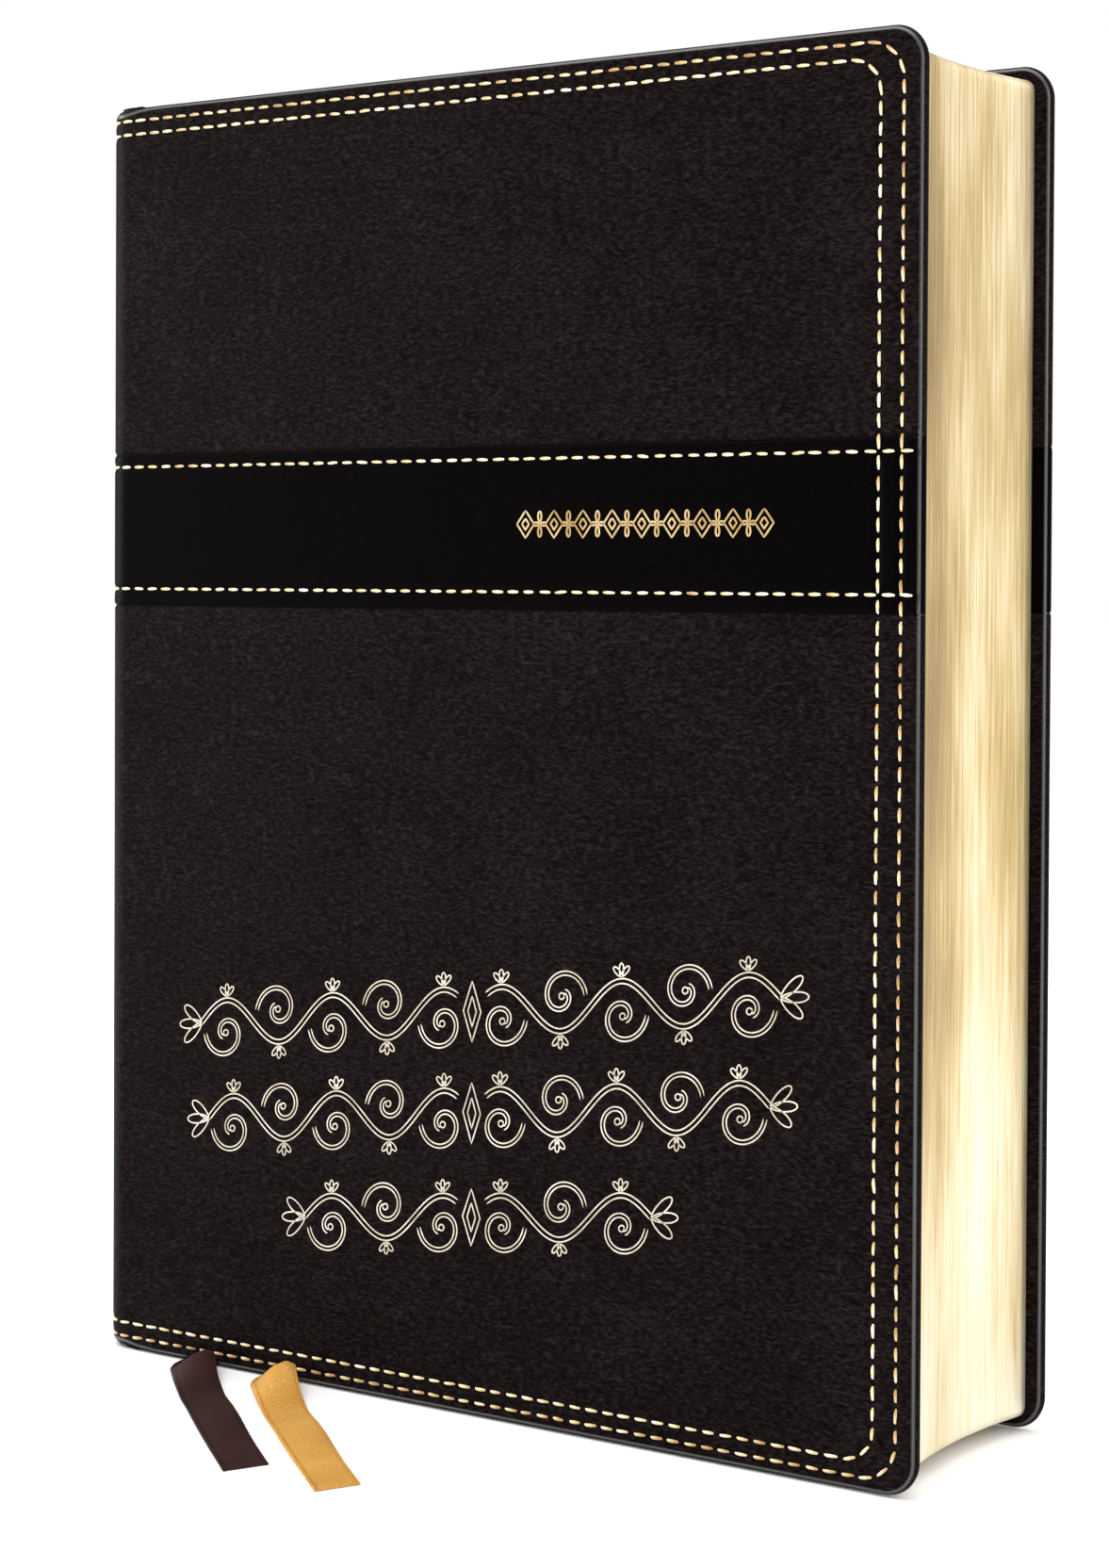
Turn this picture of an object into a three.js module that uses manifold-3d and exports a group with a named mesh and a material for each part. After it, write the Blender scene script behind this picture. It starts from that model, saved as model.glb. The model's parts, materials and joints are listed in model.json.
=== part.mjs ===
// A thick leather-look bible with a sewn book block, two hinged covers and two ribbon markers.
// Millimetres, +Z up. The book stands on its tail with its front cover facing -Y, its spine at -X
// and its fore-edge at +X. The origin is the centre of its footprint.

import * as THREE from 'three';
import { mergeVertices } from 'three/addons/utils/BufferGeometryUtils.js';
import Module from 'manifold-3d';

// ---- driving dimensions ------------------------------------------------------------------------

const WIDTH = 176; // spine to fore-edge, along X
const THICKNESS = 50; // front cover to back cover, along Y
const HEIGHT = 238; // tail to head, along Z
const GAP = 0.25; // clearance between neighbouring pieces
const CUT_MARGIN = 5; // how far a cutting body runs past what it cuts

const LEATHER = 0.8; // outer leather
const BOARD = 0.5; // stiff card inside each cover and the spine
const TURN_IN = 0.6; // leather folded over on to the inside
const TURN_IN_WIDTH = 14;
const PAPER = 0.25; // endpapers and the cloth lining of the spine
const SHEET_GAP = 0.25;

const COVER_CORNER = 6; // corner radius of a cover at its fore-edge
const COVER_EDGE = 1; // rounding of a cover's rim
const EDGE_STEPS = 2;
const SPINE_TURN = 6; // radius of the turn from a cover into the spine
const HINGE_FROM_SPINE = 8; // the leather folds on this line
const BOARD_FROM_HINGE = 1; // the card and the pasted endpaper start this far past the fold

const SQUARE = 2.6; // how far a cover stands past the pages at head and tail
const FORE_SQUARE = 3; // and at the fore-edge
const PAGE_CORNER = 2;
const FORE_HOLLOW = 2.2; // depth of the hollow down the fore-edge
const SECTION_COUNT = 11;
const TURNING_SECTIONS = 2; // sections at each end that turn with the covers
const TURNING_SECTION = 3; // their thickness
const LEAF_FROM_HINGE = 0.3; // leaves bend this far past the cover's fold

const BAND_BOTTOM = 142.9; // the smooth band round the book
const BAND_TOP = 171.9;

const THREAD = 0.5; // width of a stitching thread
const THREAD_DEPTH = 0.25;
const GROOVE_DEPTH = 0.5;
const HEAD_ROWS = [2.6, 5.2]; // rows of stitching, in from head and tail
const FORE_ROWS = [3.8, 8]; // the same rows, in from the fore-edge
const ROW_CORNERS = [6.5, 5.5];
const BAND_ROWS = [146.2, 169.4];
const CORNER_STEPS = 5;

const SEWING_STATIONS = [40, 92, 146, 198];
const SEWING_THREAD = 0.26;
const SEWING_SIDES = 6;
const BEAD_RADIUS = 0.9; // headband and tailband
const BEAD_LENGTH = 37;
const BEAD_SIDES = 12;
const MULL_WIDTH = 38;
const MULL_HEIGHT = 206;

const RIBBON_WIDTH = 8;
const RIBBON_THICKNESS = 0.25;
const RIBBON_SLOT = 0.8; // room between two sections for the ribbons
const RIBBON_PITCH = 19.4; // from the brown ribbon to the gold one where they leave the book
const RIBBON_REST = 0.16; // height of a ribbon's middle where it lies flat
const GOLD_ARCH = 1.35; // the gold ribbon arches this much higher than the brown one
const NOTCH_WIDTH = 12; // the cover's tail edge is eased over each ribbon
const NOTCH_HEIGHT = 0.55;

// The brown ribbon's free end, from under the front cover's tail edge.
const RIBBON_ROUTE = [
  [-63.1, -20.6, RIBBON_REST],
  [-63.1, -22.6, RIBBON_REST],
  [-63.0, -24.6, RIBBON_REST],
  [-62.8, -26.1, 0.4],
  [-62.4, -27.1, 1.3],
  [-61.9, -28.0, 2.5],
  [-60.9, -29.3, 3.5],
  [-59.3, -31.0, 3.4],
  [-57.3, -33.0, 2.5],
  [-54.6, -35.6, 1.4],
  [-51.2, -38.7, 0.6],
  [-46.6, -42.9, 0.3],
  [-41.0, -47.6, 0.55],
  [-34.8, -53.0, 0.75],
  [-28.7, -58.2, 0.45],
  [-22.6, -63.3, 0.18],
  [-17.5, -67.5, RIBBON_REST],
  [-12.7, -71.5, RIBBON_REST],
];

// The held stretch's bend out from under the pages: X from where the ribbon leaves, Y from its slit, and Z.
const HELD_BEND = [
  [-0.6, 0, 14],
  [-0.3, 0, 4.7],
  [-0.3, 0, 2.8],
  [-0.2, -0.5, 1.3],
  [-0.2, -2, 0.55],
  [-0.2, -4.4, 0.25],
];
const HELD_TOP = 4; // the ribbons' glued ends stay this far below the head of the pages
const HELD_MARGIN = 1; // between a ribbon's glued end and its neighbours
const RIBBON_STEPS = 44;

const FINISHES = {
  leather: { color: 0x1f1919, roughness: 0.6 },
  band: { color: 0x0f0c0d, roughness: 0.45 },
  thread: { color: 0xd9b878, roughness: 0.5 },
  card: { color: 0x8d8678, roughness: 0.9 },
  paper: { color: 0xf1e9d8, roughness: 0.85 },
  gilt: { color: 0xe2cfa3, roughness: 0.35, metalness: 0.3 },
  cloth: { color: 0xe6e0d0, roughness: 0.9 },
  brown: { color: 0x3c2a26, roughness: 0.5 },
  gold: { color: 0xcd9a4e, roughness: 0.5 },
};

// ---- places worked out from them ---------------------------------------------------------------

const SPINE_X = -WIDTH / 2;
const FORE_X = WIDTH / 2;
const HALF = THICKNESS / 2;
const HINGE_X = SPINE_X + HINGE_FROM_SPINE;
const WALL = LEATHER + GAP + BOARD + GAP + TURN_IN; // thickness of a cover
const BOARD_DEPTH = LEATHER + GAP; // depths are measured in from the outer face
const TURN_IN_DEPTH = WALL - TURN_IN;
const PASTEDOWN_DEPTH = WALL + SHEET_GAP;
const FLYLEAF_DEPTH = PASTEDOWN_DEPTH + PAPER + SHEET_GAP;
const BLOCK_DEPTH = FLYLEAF_DEPTH + PAPER + SHEET_GAP;
const BLOCK_HALF = HALF - BLOCK_DEPTH;
const MULL_X = SPINE_X + WALL + GAP;
const SEWING_X = MULL_X + PAPER + GAP + SEWING_THREAD / 2;
const BLOCK_X = SEWING_X + SEWING_THREAD / 2 + GAP;
const BLOCK_FORE_X = FORE_X - FORE_SQUARE;
const LEAF_X = HINGE_X + LEAF_FROM_HINGE;
const BLOCK_BOTTOM = SQUARE;
const BLOCK_TOP = HEIGHT - SQUARE;

// ---- solids ------------------------------------------------------------------------------------

const wasm = await Module();
wasm.setup();

function toSolid(geometry) {
  const bare = geometry.index ? geometry.toNonIndexed() : geometry.clone();
  bare.deleteAttribute('normal');
  bare.deleteAttribute('uv');
  const merged = mergeVertices(bare);
  return new wasm.Manifold(new wasm.Mesh({
    numProp: 3,
    vertProperties: new Float32Array(merged.attributes.position.array),
    triVerts: new Uint32Array(merged.index.array),
  }));
}

function toGeometry(solid) {
  const mesh = solid.getMesh();
  const geometry = new THREE.BufferGeometry();
  geometry.setAttribute('position', new THREE.BufferAttribute(mesh.vertProperties, 3));
  geometry.setIndex(new THREE.BufferAttribute(mesh.triVerts, 1));
  return geometry;
}

function box(x, y, z) {
  const geometry = new THREE.BoxGeometry(x[1] - x[0], y[1] - y[0], z[1] - z[0]);
  return geometry.translate((x[0] + x[1]) / 2, (y[0] + y[1]) / 2, (z[0] + z[1]) / 2);
}

// A flat outline drawn in X and Z, given a thickness along Y.
function upright(shape, y, edge = 0) {
  const thickness = y[1] - y[0];
  const geometry = new THREE.ExtrudeGeometry(shape, {
    depth: thickness - 2 * edge,
    bevelEnabled: edge > 0,
    bevelThickness: edge,
    bevelSize: edge,
    bevelOffset: -edge,
    bevelSegments: EDGE_STEPS,
    curveSegments: CORNER_STEPS,
  });
  return geometry.rotateX(Math.PI / 2).translate(0, y[1] - edge, 0);
}

// A flat outline drawn in X and Y, given a height along Z.
function standing(shape, z) {
  const geometry = new THREE.ExtrudeGeometry(shape, {
    depth: z[1] - z[0],
    bevelEnabled: false,
    curveSegments: CORNER_STEPS,
  });
  return geometry.translate(0, 0, z[0]);
}

// A leaf's outline: square at the spine, rounded at the fore-edge.
function leafShape(x, z, corner) {
  const shape = new THREE.Shape();
  shape.moveTo(x[0], z[0]);
  shape.lineTo(x[1] - corner, z[0]);
  shape.absarc(x[1] - corner, z[0] + corner, corner, -Math.PI / 2, 0, false);
  shape.lineTo(x[1], z[1] - corner);
  shape.absarc(x[1] - corner, z[1] - corner, corner, 0, Math.PI / 2, false);
  shape.lineTo(x[0], z[1]);
  shape.closePath();
  return shape;
}

// The outline of a row of stitching round head, fore-edge and tail of a cover.
function rowShape(row, width, startX) {
  const right = FORE_X - FORE_ROWS[row] + width / 2;
  const top = HEIGHT - HEAD_ROWS[row] + width / 2;
  const bottom = HEAD_ROWS[row] - width / 2;
  const outer = ROW_CORNERS[row] + width / 2;
  const inner = ROW_CORNERS[row] - width / 2;
  const centreX = right - outer;
  const quarter = Math.PI / 2;
  const shape = new THREE.Shape();
  shape.moveTo(startX, top);
  shape.lineTo(centreX, top);
  shape.absarc(centreX, top - outer, outer, quarter, 0, true);
  shape.lineTo(right, bottom + outer);
  shape.absarc(centreX, bottom + outer, outer, 0, -quarter, true);
  shape.lineTo(startX, bottom);
  shape.lineTo(startX, bottom + width);
  shape.lineTo(centreX, bottom + width);
  shape.absarc(centreX, bottom + outer, inner, -quarter, 0, false);
  shape.lineTo(right - width, top - outer);
  shape.absarc(centreX, top - outer, inner, 0, quarter, false);
  shape.lineTo(startX, top - width);
  shape.closePath();
  return shape;
}

// The spine's wall seen from above, between two depths in from its outer face.
function channelShape(outerDepth, innerDepth, endX) {
  const centreX = SPINE_X + SPINE_TURN;
  const centreY = HALF - SPINE_TURN;
  const outer = SPINE_TURN - outerDepth;
  const inner = SPINE_TURN - innerDepth;
  const quarter = Math.PI / 2;
  const shape = new THREE.Shape();
  shape.moveTo(endX, -centreY - outer);
  shape.lineTo(endX, -centreY - inner);
  shape.lineTo(centreX, -centreY - inner);
  shape.absarc(centreX, -centreY, inner, -quarter, -2 * quarter, true);
  shape.lineTo(centreX - inner, centreY);
  shape.absarc(centreX, centreY, inner, 2 * quarter, quarter, true);
  shape.lineTo(endX, centreY + inner);
  shape.lineTo(endX, centreY + outer);
  shape.lineTo(centreX, centreY + outer);
  shape.absarc(centreX, centreY, outer, quarter, 2 * quarter, false);
  shape.lineTo(centreX - outer, -centreY);
  shape.absarc(centreX, -centreY, outer, 2 * quarter, 3 * quarter, false);
  shape.closePath();
  return shape;
}

// The stretch of Y between two depths in from the front (-1) or back (+1) face.
function depths(side, from, to) {
  const ends = [side * (HALF - from), side * (HALF - to)];
  return ends.sort((a, b) => a - b);
}

// A path for a flat ribbon, whose width points along sideOf(tangent) all the way.
class RibbonCurve extends THREE.CatmullRomCurve3 {
  constructor(points, sideOf) {
    super(points.map((point) => new THREE.Vector3(...point)));
    this.sideOf = sideOf;
  }

  computeFrenetFrames(steps) {
    const frames = { tangents: [], normals: [], binormals: [] };
    for (let step = 0; step <= steps; step += 1) {
      const tangent = this.getTangentAt(step / steps);
      const side = this.sideOf(tangent).normalize();
      frames.tangents.push(tangent);
      frames.binormals.push(side);
      frames.normals.push(side.clone().cross(tangent));
    }
    return frames;
  }
}

// Level from edge to edge, however the path climbs.
const levelSide = (tangent) => tangent.clone().cross(new THREE.Vector3(0, 0, 1));

// As near to the X axis as the path allows.
const crossSide = (tangent) => new THREE.Vector3(-1, 0, 0).addScaledVector(tangent, tangent.x);

// A strip of ribbon: a thin section carried along a smooth path.
function ribbon(points, sideOf) {
  const section = new THREE.Shape();
  section.moveTo(-RIBBON_THICKNESS / 2, -RIBBON_WIDTH / 2);
  section.lineTo(RIBBON_THICKNESS / 2, -RIBBON_WIDTH / 2);
  section.lineTo(RIBBON_THICKNESS / 2, RIBBON_WIDTH / 2);
  section.lineTo(-RIBBON_THICKNESS / 2, RIBBON_WIDTH / 2);
  section.closePath();
  const path = new RibbonCurve(points, sideOf);
  return new THREE.ExtrudeGeometry(section, { steps: RIBBON_STEPS, extrudePath: path });
}

// ---- the group ---------------------------------------------------------------------------------

const group = new THREE.Group();

function add(name, geometry, finish) {
  const mesh = new THREE.Mesh(geometry, new THREE.MeshStandardMaterial(FINISHES[finish]));
  mesh.name = name;
  group.add(mesh);
}

// The leather is sewn up from three lengths: above the band, the band, and below it.
function addLengths(prefix, solid) {
  const lengths = [
    ['lower_leather', -CUT_MARGIN, BAND_BOTTOM - GAP / 2, 'leather'],
    ['band', BAND_BOTTOM + GAP / 2, BAND_TOP - GAP / 2, 'band'],
    ['upper_leather', BAND_TOP + GAP / 2, HEIGHT + CUT_MARGIN, 'leather'],
  ];
  for (const [part, bottom, top, finish] of lengths) {
    const slab = toSolid(box([-WIDTH, WIDTH], [-WIDTH, WIDTH], [bottom, top]));
    add(`${prefix}_${part}`, toGeometry(solid.intersect(slab)), finish);
  }
}

// ---- covers ------------------------------------------------------------------------------------

function coverStitching(side, width, depth, reach) {
  const startX = HINGE_X + GAP / 2 - reach;
  const y = depths(side, -reach, depth);
  let rows = toSolid(upright(rowShape(0, width, startX), y));
  rows = rows.add(toSolid(upright(rowShape(1, width, startX), y)));
  for (const z of BAND_ROWS) {
    const endX = FORE_X - COVER_EDGE + reach;
    rows = rows.add(toSolid(box([startX, endX], y, [z - width / 2, z + width / 2])));
  }
  return rows;
}

function ribbonNotches() {
  const [x] = RIBBON_ROUTE[2];
  const y = depths(-1, -CUT_MARGIN, WALL + CUT_MARGIN);
  const notch = (middle) => toSolid(
    box([middle - NOTCH_WIDTH / 2, middle + NOTCH_WIDTH / 2], y, [-CUT_MARGIN, NOTCH_HEIGHT]),
  );
  return notch(x).add(notch(x + RIBBON_PITCH));
}

function coverLeather(side) {
  const startX = HINGE_X + GAP / 2;
  const pastX = startX - CUT_MARGIN;
  const outline = leafShape([pastX, FORE_X], [0, HEIGHT], COVER_CORNER);
  const pocket = leafShape(
    [pastX, FORE_X - LEATHER],
    [LEATHER, HEIGHT - LEATHER],
    COVER_CORNER - LEATHER,
  );
  const window = box(
    [pastX, FORE_X - TURN_IN_WIDTH],
    depths(side, TURN_IN_DEPTH - GAP, WALL + CUT_MARGIN),
    [TURN_IN_WIDTH, HEIGHT - TURN_IN_WIDTH],
  );
  const keep = box([startX, FORE_X + CUT_MARGIN], [-WIDTH, WIDTH], [-CUT_MARGIN, HEIGHT + CUT_MARGIN]);
  let solid = toSolid(upright(outline, depths(side, 0, WALL), COVER_EDGE))
    .subtract(toSolid(upright(pocket, depths(side, LEATHER, TURN_IN_DEPTH))))
    .subtract(toSolid(window))
    .subtract(coverStitching(side, THREAD + 2 * GAP, GROOVE_DEPTH, CUT_MARGIN))
    .intersect(toSolid(keep));
  if (side < 0) {
    solid = solid.subtract(ribbonNotches());
  }
  return solid;
}

function addCover(name, side) {
  const inset = LEATHER + GAP;
  const startX = HINGE_X + BOARD_FROM_HINGE;
  const pages = [BLOCK_BOTTOM, BLOCK_TOP];
  const board = leafShape([startX, FORE_X - inset], [inset, HEIGHT - inset], COVER_CORNER - inset);
  const pastedown = leafShape([startX, BLOCK_FORE_X], pages, PAGE_CORNER);
  const flyleaf = leafShape([LEAF_X, BLOCK_FORE_X], pages, PAGE_CORNER);
  const pastedownY = depths(side, PASTEDOWN_DEPTH, PASTEDOWN_DEPTH + PAPER);
  const flyleafY = depths(side, FLYLEAF_DEPTH, FLYLEAF_DEPTH + PAPER);
  addLengths(name, coverLeather(side));
  add(`${name}_stitching`, toGeometry(coverStitching(side, THREAD, THREAD_DEPTH, 0)), 'thread');
  add(`${name}_board`, upright(board, depths(side, BOARD_DEPTH, BOARD_DEPTH + BOARD)), 'card');
  add(`${name}_pastedown`, upright(pastedown, pastedownY), 'paper');
  add(`${name}_flyleaf`, upright(flyleaf, flyleafY), 'paper');
  add(`${name}_endpaper_gutter`, box([BLOCK_X + 2 * GAP, LEAF_X - GAP], flyleafY, pages), 'paper');
}

// ---- spine -------------------------------------------------------------------------------------

function addSpine() {
  const endX = HINGE_X - GAP / 2;
  const pastX = endX + CUT_MARGIN;
  let solid = toSolid(standing(channelShape(0, WALL, endX), [0, HEIGHT]))
    .subtract(toSolid(standing(
      channelShape(LEATHER, TURN_IN_DEPTH, pastX),
      [LEATHER, HEIGHT - LEATHER],
    )))
    .subtract(toSolid(standing(
      channelShape(TURN_IN_DEPTH - GAP, WALL + GAP, pastX),
      [TURN_IN_WIDTH, HEIGHT - TURN_IN_WIDTH],
    )));
  const rows = {
    tail_outer: HEAD_ROWS[0],
    tail_inner: HEAD_ROWS[1],
    band_lower: BAND_ROWS[0],
    band_upper: BAND_ROWS[1],
    head_inner: HEIGHT - HEAD_ROWS[1],
    head_outer: HEIGHT - HEAD_ROWS[0],
  };
  const thread = channelShape(0, THREAD_DEPTH, endX);
  const groove = channelShape(-GROOVE_DEPTH, GROOVE_DEPTH, pastX);
  const halfGroove = THREAD / 2 + GAP;
  for (const [row, z] of Object.entries(rows)) {
    solid = solid.subtract(toSolid(standing(groove, [z - halfGroove, z + halfGroove])));
    add(`spine_${row}_stitching`, standing(thread, [z - THREAD / 2, z + THREAD / 2]), 'thread');
  }
  addLengths('spine', solid);

  const stiffenerX = SPINE_X + BOARD_DEPTH;
  const flat = HALF - SPINE_TURN;
  const inset = LEATHER + GAP;
  const stiffener = box([stiffenerX, stiffenerX + BOARD], [-flat, flat], [inset, HEIGHT - inset]);
  add('spine_stiffener', stiffener, 'card');
  const mullZ = [(HEIGHT - MULL_HEIGHT) / 2, (HEIGHT + MULL_HEIGHT) / 2];
  add('spine_mull', box([MULL_X, MULL_X + PAPER], [-MULL_WIDTH / 2, MULL_WIDTH / 2], mullZ), 'cloth');
}

// ---- book block --------------------------------------------------------------------------------

// Everything in front of the fore-edge's hollow, a shallow arc seen from above.
function foreHollow() {
  const radius = (BLOCK_HALF ** 2 + FORE_HOLLOW ** 2) / (2 * FORE_HOLLOW);
  const centreX = BLOCK_FORE_X - FORE_HOLLOW + radius;
  const angle = Math.asin((BLOCK_HALF + GAP) / radius);
  const shape = new THREE.Shape();
  shape.moveTo(FORE_X, BLOCK_HALF + GAP);
  shape.absarc(centreX, 0, radius, Math.PI - angle, Math.PI + angle, false);
  shape.lineTo(FORE_X, -BLOCK_HALF - GAP);
  shape.closePath();
  const geometry = new THREE.ExtrudeGeometry(shape, {
    depth: HEIGHT,
    bevelEnabled: false,
    curveSegments: SECTION_COUNT + 1,
  });
  return toSolid(geometry);
}

function addSections() {
  const hollow = foreHollow();
  const wholeCount = SECTION_COUNT - 2 * TURNING_SECTIONS;
  const wholeRoom = 2 * (BLOCK_HALF - TURNING_SECTIONS * (TURNING_SECTION + GAP));
  const whole = (wholeRoom - RIBBON_SLOT - (wholeCount - 2) * GAP) / wholeCount;
  const z = [BLOCK_BOTTOM, BLOCK_TOP];
  let front = -BLOCK_HALF;
  let slotY = 0;
  for (let number = 1; number <= SECTION_COUNT; number += 1) {
    const name = `section_${String(number).padStart(2, '0')}`;
    const turns = number <= TURNING_SECTIONS || number > SECTION_COUNT - TURNING_SECTIONS;
    const y = [front, front + (turns ? TURNING_SECTION : whole)];
    const startX = turns ? LEAF_X : BLOCK_X;
    const leaves = upright(leafShape([startX, BLOCK_FORE_X], z, PAGE_CORNER), y);
    const solid = toGeometry(toSolid(leaves).subtract(hollow));
    add(turns ? `${name}_leaves` : name, solid, 'gilt');
    if (turns) {
      add(`${name}_gutter`, box([BLOCK_X, LEAF_X - GAP], y, z), 'gilt');
    }
    const slotted = number === TURNING_SECTIONS + 1;
    if (slotted) {
      slotY = y[1] + RIBBON_SLOT / 2;
    }
    front = y[1] + (slotted ? RIBBON_SLOT : GAP);
  }
  return slotY;
}

function addSewing() {
  const radius = SEWING_THREAD / 2;
  SEWING_STATIONS.forEach((z, index) => {
    const thread = new THREE.CylinderGeometry(radius, radius, 2 * BLOCK_HALF, SEWING_SIDES);
    add(`sewing_thread_${index + 1}`, thread.translate(SEWING_X, 0, z), 'cloth');
  });
  const beadX = BLOCK_X + BEAD_RADIUS;
  const beadGap = BEAD_RADIUS + GAP;
  for (const [name, z] of [['tailband', BLOCK_BOTTOM - beadGap], ['headband', BLOCK_TOP + beadGap]]) {
    const bead = new THREE.CylinderGeometry(BEAD_RADIUS, BEAD_RADIUS, BEAD_LENGTH, BEAD_SIDES);
    add(name, bead.translate(beadX, 0, z), 'gold');
  }
}

// ---- ribbon markers ----------------------------------------------------------------------------

// The stretch held between the sections, down to the floor of the slit under the pages.
function heldRoute(shiftX, headX, slotY) {
  const [exitX, exitY, exitZ] = RIBBON_ROUTE[0];
  const lowX = exitX + shiftX;
  const bend = HELD_BEND.map(([x, y, z]) => [lowX + x, slotY + y, z]);
  const [, lastY] = bend[bend.length - 1];
  return [
    [headX, slotY, BLOCK_TOP - HELD_TOP],
    [(headX + lowX) / 2, slotY, HEIGHT / 2],
    ...bend,
    [lowX, (lastY + exitY) / 2, exitZ],
    [lowX, exitY + GAP, exitZ],
  ];
}

function tailRoute(shiftX, arch) {
  return RIBBON_ROUTE.map(([x, y, z]) => [x + shiftX, y, RIBBON_REST + (z - RIBBON_REST) * arch]);
}

function addRibbons(slotY) {
  const headX = BLOCK_X + RIBBON_WIDTH / 2 + HELD_MARGIN;
  const nextX = headX + RIBBON_WIDTH + 2 * HELD_MARGIN;
  add('brown_ribbon', ribbon(heldRoute(0, headX, slotY), crossSide), 'brown');
  add('gold_ribbon', ribbon(heldRoute(RIBBON_PITCH, nextX, slotY), crossSide), 'gold');
  add('brown_ribbon_tail', ribbon(tailRoute(0, 1), levelSide), 'brown');
  add('gold_ribbon_tail', ribbon(tailRoute(RIBBON_PITCH, GOLD_ARCH), levelSide), 'gold');
}

addCover('front', -1);
addCover('back', 1);
addSpine();
const slotY = addSections();
addSewing();
addRibbons(slotY);

export default group;
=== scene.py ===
"""A standing bible with a leather-look cover, a smooth band, double stitching, gilt edges and two ribbon
markers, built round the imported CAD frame. Lengths are in metres."""

import json
import math

import bpy
import numpy as np
from mathutils import Matrix, Vector


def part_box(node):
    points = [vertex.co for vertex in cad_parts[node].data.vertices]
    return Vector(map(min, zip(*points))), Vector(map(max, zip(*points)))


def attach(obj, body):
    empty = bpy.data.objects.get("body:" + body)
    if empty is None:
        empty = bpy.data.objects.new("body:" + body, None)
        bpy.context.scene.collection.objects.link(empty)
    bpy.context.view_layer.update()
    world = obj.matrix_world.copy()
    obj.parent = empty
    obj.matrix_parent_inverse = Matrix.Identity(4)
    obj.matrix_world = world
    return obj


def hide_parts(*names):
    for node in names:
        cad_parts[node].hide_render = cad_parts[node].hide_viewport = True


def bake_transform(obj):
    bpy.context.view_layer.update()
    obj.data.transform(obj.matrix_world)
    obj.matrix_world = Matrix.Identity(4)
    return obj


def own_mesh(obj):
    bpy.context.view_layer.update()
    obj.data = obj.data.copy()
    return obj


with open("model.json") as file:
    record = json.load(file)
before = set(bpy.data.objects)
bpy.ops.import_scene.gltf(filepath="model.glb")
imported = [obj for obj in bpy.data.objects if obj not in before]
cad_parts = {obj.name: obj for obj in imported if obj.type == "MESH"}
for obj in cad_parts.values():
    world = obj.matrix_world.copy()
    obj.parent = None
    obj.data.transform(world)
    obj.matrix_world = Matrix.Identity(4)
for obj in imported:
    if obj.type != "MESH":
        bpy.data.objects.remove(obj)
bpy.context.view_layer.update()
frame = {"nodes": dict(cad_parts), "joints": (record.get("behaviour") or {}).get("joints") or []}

MM = 0.001
rng = np.random.default_rng(7)

# ---- sizes taken from the frame ----------------------------------

JOINTS = {joint["name"]: joint for joint in frame["joints"]}
HINGE_X = JOINTS["front_cover_hinge"]["pos_m"][0]

band_low, band_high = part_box("front_band")
spine_low, spine_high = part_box("spine_upper_leather")
SPINE_X = spine_low.x
FORE_X = band_high.x
HEIGHT = spine_high.z
HALF = spine_high.y
WALL = band_high.y - band_low.y
BAND = (band_low.z, band_high.z)

# ---- sizes of the finished surfaces ------------------------------

TURN_RADIUS = 6 * MM  # where the spine turns into the covers
COVER_CORNER = 6 * MM
PAGE_CORNER = 2 * MM
RIM = 1.18 * MM  # rounding of the covers' edges
SPINE_RIM = 2.2 * MM  # rounding of the spine's head and tail, outside and inside
SPINE_INNER_RIM = 0.4 * MM
SKIN = 0.7 * MM  # thickness of the leather
TURN_IN = 13 * MM  # width of the leather turned in behind the edges
TAIL_LIFT = 0.3 * MM  # height of the case's tail edge above the floor

# The outer and inner border rows: the way in from the head and tail and from the fore-edge, and corner radii.
HEAD_ROWS = (2.6 * MM, 5.2 * MM)
FORE_ROWS = (3.8 * MM, 8.0 * MM)
ROW_CORNERS = (6.5 * MM, 5.5 * MM)
CORNER_POINTS = 12
# Heights of the rows along the band's lower and upper edges.
BAND_ROWS = (146.2 * MM, 169.4 * MM)
STITCH_PITCH = 3.35 * MM
STITCH_LENGTH = 2.8 * MM
THREAD = 0.27 * MM  # radius
GROOVE_DEPTH = 0.24 * MM
GROOVE_WIDTH = 0.62 * MM
RIBBON_BEAD = 0.85 * MM  # pitch of the small stitches along a ribbon's edges

# Places on the unrolled case, as distances u from the middle of the spine.
FLAT_SPINE = HALF - TURN_RADIUS
FLAT_START = FLAT_SPINE + TURN_RADIUS * math.pi / 2
FORE_U = FLAT_START + FORE_X - (SPINE_X + TURN_RADIUS)
HINGE_U = FLAT_START + HINGE_X - (SPINE_X + TURN_RADIUS)
FOLD = 1.6 * MM  # half the width of the fold at the hinge

# ---- camera, floor and light -------------------------------------

CAMERA_PLACE = (0.3095, -0.45874, 0.14894)
CAMERA_YAW, CAMERA_PITCH, CAMERA_ROLL = 33.98, 0.913, 0.283  # degrees
CAMERA_LENS = 69.35
CAMERA_SHIFT = -0.1017


def turned(first, second, degrees):
    """Two vectors at right angles, turned in their plane: the first towards the second."""
    c, s = math.cos(math.radians(degrees)), math.sin(math.radians(degrees))
    return first * c + second * s, second * c - first * s


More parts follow.
